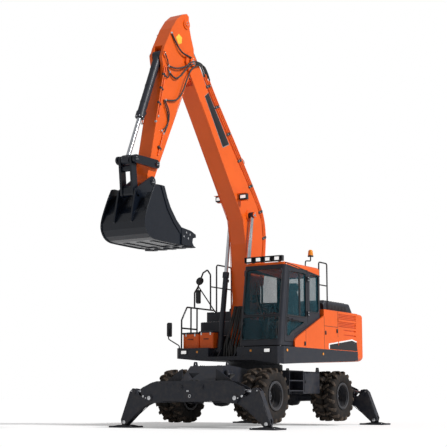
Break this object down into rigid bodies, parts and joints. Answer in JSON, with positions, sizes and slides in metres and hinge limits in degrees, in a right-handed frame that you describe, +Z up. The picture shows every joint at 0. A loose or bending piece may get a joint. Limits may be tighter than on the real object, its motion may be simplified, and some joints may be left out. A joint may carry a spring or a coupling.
{
  "type": "wheeled excavator",
  "caption": "Road-going excavator on rubber tyres with twin wheels, stabiliser legs set down, a raised one-piece boom, an arm and a digging bucket.",
  "frame": {"origin": "on the ground, under the middle of the whole machine's length and width", "axes": "+X forward, towards the boom, +Y to the machine's left, where the cab is, +Z up"},
  "size_m": [7.2162, 3.76, 7.9868],
  "materials": {
    "orange_paint": "gloss",
    "charcoal_paint": "semi-gloss",
    "bucket_paint": "satin",
    "rail_paint": "satin",
    "rim_paint": "satin",
    "tyre_rubber": "matte",
    "rod_chrome": "polished",
    "window_glass": "clear",
    "lamp_plastic": "gloss",
    "cab_trim": "matte"
  },
  "bodies": {
    "undercarriage": {"chassis_frame": "charcoal_paint", "leg_beams": "charcoal_paint", "swing_ring": "charcoal_paint", "front_axle": "charcoal_paint", "rear_axle": "charcoal_paint", "steps_and_lockers": "charcoal_paint"},
    "knuckle_left": {"knuckle_left": "charcoal_paint"},
    "knuckle_right": {"knuckle_right": "charcoal_paint"},
    "steering_rod": {"steering_rod": "charcoal_paint"},
    "wheels_front_left": {"tyres_front_left": "tyre_rubber", "rims_front_left": "rim_paint"},
    "wheels_front_right": {"tyres_front_right": "tyre_rubber", "rims_front_right": "rim_paint"},
    "wheels_rear_left": {"tyres_rear_left": "tyre_rubber", "rims_rear_left": "rim_paint"},
    "wheels_rear_right": {"tyres_rear_right": "tyre_rubber", "rims_rear_right": "rim_paint"},
    "leg_front_left": {"leg_front_left": "charcoal_paint"},
    "pad_front_left": {"pad_front_left": "charcoal_paint"},
    "leg_barrel_front_left": {"leg_barrel_front_left": "charcoal_paint"},
    "leg_rod_front_left": {"leg_rod_front_left": "rod_chrome"},
    "leg_front_right": {"leg_front_right": "charcoal_paint"},
    "pad_front_right": {"pad_front_right": "charcoal_paint"},
    "leg_barrel_front_right": {"leg_barrel_front_right": "charcoal_paint"},
    "leg_rod_front_right": {"leg_rod_front_right": "rod_chrome"},
    "leg_rear_left": {"leg_rear_left": "charcoal_paint"},
    "pad_rear_left": {"pad_rear_left": "charcoal_paint"},
    "leg_barrel_rear_left": {"leg_barrel_rear_left": "charcoal_paint"},
    "leg_rod_rear_left": {"leg_rod_rear_left": "rod_chrome"},
    "leg_rear_right": {"leg_rear_right": "charcoal_paint"},
    "pad_rear_right": {"pad_rear_right": "charcoal_paint"},
    "leg_barrel_rear_right": {"leg_barrel_rear_right": "charcoal_paint"},
    "leg_rod_rear_right": {"leg_rod_rear_right": "rod_chrome"},
    "upper": {"deck": "charcoal_paint", "counterweight": "orange_paint", "house_left": "orange_paint", "house_right": "orange_paint", "fuel_tank": "charcoal_paint", "tool_box": "orange_paint", "engine_block": "charcoal_paint", "cab_frame": "charcoal_paint", "cab_roof": "orange_paint", "cab_glass": "window_glass", "cab_interior": "cab_trim", "rails_and_mirrors": "rail_paint", "lamps": "lamp_plastic"},
    "cab_door": {"cab_door": "charcoal_paint", "door_glass": "window_glass"},
    "engine_hood": {"engine_hood": "charcoal_paint"},
    "boom": {"boom": "orange_paint"},
    "boom_barrels": {"boom_barrels": "charcoal_paint"},
    "boom_rods": {"boom_rods": "rod_chrome"},
    "arm": {"arm": "orange_paint"},
    "arm_barrel": {"arm_barrel": "charcoal_paint"},
    "arm_rod": {"arm_rod": "rod_chrome"},
    "bucket_barrel": {"bucket_barrel": "charcoal_paint"},
    "bucket_rod": {"bucket_rod": "rod_chrome"},
    "tipping_lever": {"tipping_lever": "bucket_paint"},
    "connecting_link": {"connecting_link": "bucket_paint"},
    "bucket": {"bucket": "bucket_paint"}
  },
  "joints": [
    {"name": "swing", "type": "hinge", "parent": "undercarriage", "child": "upper", "pos_m": [-0.75819, 0, 1.3], "axis": [0, 0, 1], "continuous": true},
    {"name": "steer_left", "type": "hinge", "parent": "undercarriage", "child": "knuckle_left", "pos_m": [0.48181, 0.62, 0.607], "axis": [0, 0, 1], "range_deg": [-28, 28]},
    {"name": "steer_right", "type": "hinge", "parent": "undercarriage", "child": "knuckle_right", "pos_m": [0.48181, -0.62, 0.607], "axis": [0, 0, 1], "range_deg": [-28.5, 28.5]},
    {"name": "steering_rod_slide", "type": "slide", "parent": "undercarriage", "child": "steering_rod", "axis": [0, 1, 0], "range_m": [-0.12, 0.12]},
    {"name": "roll_front_left", "type": "hinge", "parent": "knuckle_left", "child": "wheels_front_left", "pos_m": [0.48181, 0.972, 0.607], "axis": [0, 1, 0], "continuous": true},
    {"name": "roll_front_right", "type": "hinge", "parent": "knuckle_right", "child": "wheels_front_right", "pos_m": [0.48181, -0.972, 0.607], "axis": [0, 1, 0], "continuous": true},
    {"name": "roll_rear_left", "type": "hinge", "parent": "undercarriage", "child": "wheels_rear_left", "pos_m": [-2.36819, 0.972, 0.607], "axis": [0, 1, 0], "continuous": true},
    {"name": "roll_rear_right", "type": "hinge", "parent": "undercarriage", "child": "wheels_rear_right", "pos_m": [-2.36819, -0.972, 0.607], "axis": [0, 1, 0], "continuous": true},
    {"name": "leg_lift_front_left", "type": "hinge", "parent": "undercarriage", "child": "leg_front_left", "pos_m": [1.44181, 0.965, 0.567], "axis": [1, 0, 0], "range_deg": [0, 40]},
    {"name": "pad_tilt_front_left", "type": "hinge", "parent": "leg_front_left", "child": "pad_front_left", "pos_m": [1.44181, 1.6, 0.1], "axis": [-1, 0, 0], "range_deg": [0, 30]},
    {"name": "leg_barrel_turn_front_left", "type": "hinge", "parent": "undercarriage", "child": "leg_barrel_front_left", "pos_m": [1.44181, 0.235, 0.77], "axis": [1, 0, 0], "range_deg": [-1, 14]},
    {"name": "leg_rod_slide_front_left", "type": "slide", "parent": "leg_barrel_front_left", "child": "leg_rod_front_left", "axis": [0, 0.9968, -0.0794], "range_m": [-0.17, 0.02]},
    {"name": "leg_lift_front_right", "type": "hinge", "parent": "undercarriage", "child": "leg_front_right", "pos_m": [1.44181, -0.965, 0.567], "axis": [-1, 0, 0], "range_deg": [0, 40]},
    {"name": "pad_tilt_front_right", "type": "hinge", "parent": "leg_front_right", "child": "pad_front_right", "pos_m": [1.44181, -1.6, 0.1], "axis": [1, 0, 0], "range_deg": [0, 30]},
    {"name": "leg_barrel_turn_front_right", "type": "hinge", "parent": "undercarriage", "child": "leg_barrel_front_right", "pos_m": [1.44181, -0.235, 0.77], "axis": [-1, 0, 0], "range_deg": [-1, 14]},
    {"name": "leg_rod_slide_front_right", "type": "slide", "parent": "leg_barrel_front_right", "child": "leg_rod_front_right", "axis": [0, -0.9968, -0.0794], "range_m": [-0.17, 0.02]},
    {"name": "leg_lift_rear_left", "type": "hinge", "parent": "undercarriage", "child": "leg_rear_left", "pos_m": [-3.12819, 0.965, 0.567], "axis": [1, 0, 0], "range_deg": [0, 40]},
    {"name": "pad_tilt_rear_left", "type": "hinge", "parent": "leg_rear_left", "child": "pad_rear_left", "pos_m": [-3.12819, 1.6, 0.1], "axis": [-1, 0, 0], "range_deg": [0, 30]},
    {"name": "leg_barrel_turn_rear_left", "type": "hinge", "parent": "undercarriage", "child": "leg_barrel_rear_left", "pos_m": [-3.12819, 0.235, 0.77], "axis": [1, 0, 0], "range_deg": [-1, 14]},
    {"name": "leg_rod_slide_rear_left", "type": "slide", "parent": "leg_barrel_rear_left", "child": "leg_rod_rear_left", "axis": [0, 0.9968, -0.0794], "range_m": [-0.17, 0.02]},
    {"name": "leg_lift_rear_right", "type": "hinge", "parent": "undercarriage", "child": "leg_rear_right", "pos_m": [-3.12819, -0.965, 0.567], "axis": [-1, 0, 0], "range_deg": [0, 40]},
    {"name": "pad_tilt_rear_right", "type": "hinge", "parent": "leg_rear_right", "child": "pad_rear_right", "pos_m": [-3.12819, -1.6, 0.1], "axis": [1, 0, 0], "range_deg": [0, 30]},
    {"name": "leg_barrel_turn_rear_right", "type": "hinge", "parent": "undercarriage", "child": "leg_barrel_rear_right", "pos_m": [-3.12819, -0.235, 0.77], "axis": [-1, 0, 0], "range_deg": [-1, 14]},
    {"name": "leg_rod_slide_rear_right", "type": "slide", "parent": "leg_barrel_rear_right", "child": "leg_rod_rear_right", "axis": [0, -0.9968, -0.0794], "range_m": [-0.17, 0.02]},
    {"name": "door_swing", "type": "hinge", "parent": "upper", "child": "cab_door", "pos_m": [-0.87819, 1.231, 2.6], "axis": [0, 0, 1], "range_deg": [0, 150]},
    {"name": "hood_lift", "type": "hinge", "parent": "upper", "child": "engine_hood", "pos_m": [-1.97819, 0.11, 2.414], "axis": [0, 1, 0], "range_deg": [0, 60]},
    {"name": "boom_lift", "type": "hinge", "parent": "upper", "child": "boom", "pos_m": [-0.47819, -0.1, 1.772], "axis": [0, -1, 0], "range_deg": [-85, 14]},
    {"name": "arm_curl", "type": "hinge", "parent": "boom", "child": "arm", "pos_m": [1.70409, -0.1, 7.03012], "axis": [0, 1, 0], "range_deg": [-105, 15]},
    {"name": "bucket_curl", "type": "hinge", "parent": "arm", "child": "bucket", "pos_m": [2.98419, -0.1, 4.45025], "axis": [0, 1, 0], "range_deg": [-80, 40]},
    {"name": "boom_barrels_turn", "type": "hinge", "parent": "upper", "child": "boom_barrels", "pos_m": [-0.01619, -0.1, 1.5], "axis": [0, -1, 0], "range_deg": [-85, 15]},
    {"name": "boom_rods_slide", "type": "slide", "parent": "boom_barrels", "child": "boom_rods", "axis": [-0.1483, 0, 0.9889], "range_m": [-0.75, 0.13]},
    {"name": "arm_barrel_turn", "type": "hinge", "parent": "boom", "child": "arm_barrel", "pos_m": [-0.25655, -0.1, 5.39477], "axis": [0, 1, 0], "range_deg": [-10, 3]},
    {"name": "arm_rod_slide", "type": "slide", "parent": "arm_barrel", "child": "arm_rod", "axis": [0.6622, 0, 0.7493], "range_m": [-1.17, 0.18]},
    {"name": "bucket_barrel_turn", "type": "hinge", "parent": "arm", "child": "bucket_barrel", "pos_m": [2.56703, -0.1, 6.96711], "axis": [0, 1, 0], "range_deg": [-5, 3]},
    {"name": "bucket_rod_slide", "type": "slide", "parent": "bucket_barrel", "child": "bucket_rod", "axis": [0.3883, 0, -0.9215], "range_m": [-0.62, 0.32]},
    {"name": "lever_turn", "type": "hinge", "parent": "arm", "child": "tipping_lever", "pos_m": [2.85377, -0.1, 4.79635], "axis": [0, 1, 0], "range_deg": [-62, 32]},
    {"name": "link_turn", "type": "hinge", "parent": "tipping_lever", "child": "connecting_link", "pos_m": [3.48432, -0.1, 4.78995], "axis": [0, 1, 0], "range_deg": [-20, 37]}
  ],
  "couplings": [
    {"joint": "steer_right", "follows": "steer_left", "ratio": 1},
    {"joint": "steering_rod_slide", "follows": "steer_left", "m_per_rad": -0.2315},
    {"joint": "leg_barrel_turn_front_left", "follows": "leg_lift_front_left", "ratio": 0.3265},
    {"joint": "leg_rod_slide_front_left", "follows": "leg_lift_front_left", "m_per_rad": -0.2146},
    {"joint": "leg_barrel_turn_front_right", "follows": "leg_lift_front_right", "ratio": 0.3265},
    {"joint": "leg_rod_slide_front_right", "follows": "leg_lift_front_right", "m_per_rad": -0.2146},
    {"joint": "leg_barrel_turn_rear_left", "follows": "leg_lift_rear_left", "ratio": 0.3265},
    {"joint": "leg_rod_slide_rear_left", "follows": "leg_lift_rear_left", "m_per_rad": -0.2146},
    {"joint": "leg_barrel_turn_rear_right", "follows": "leg_lift_rear_right", "ratio": 0.3265},
    {"joint": "leg_rod_slide_rear_right", "follows": "leg_lift_rear_right", "m_per_rad": -0.2146},
    {"joint": "boom_barrels_turn", "follows": "boom_lift", "ratio": 0.9841},
    {"joint": "boom_rods_slide", "follows": "boom_lift", "m_per_rad": 0.4887},
    {"joint": "arm_barrel_turn", "follows": "arm_curl", "ratio": 0.06},
    {"joint": "arm_rod_slide", "follows": "arm_curl", "m_per_rad": 0.6259},
    {"joint": "bucket_barrel_turn", "follows": "bucket_curl", "ratio": 0.0317},
    {"joint": "bucket_rod_slide", "follows": "bucket_curl", "m_per_rad": 0.4291},
    {"joint": "lever_turn", "follows": "bucket_curl", "ratio": 0.7444},
    {"joint": "link_turn", "follows": "bucket_curl", "ratio": -0.4263}
  ]
}
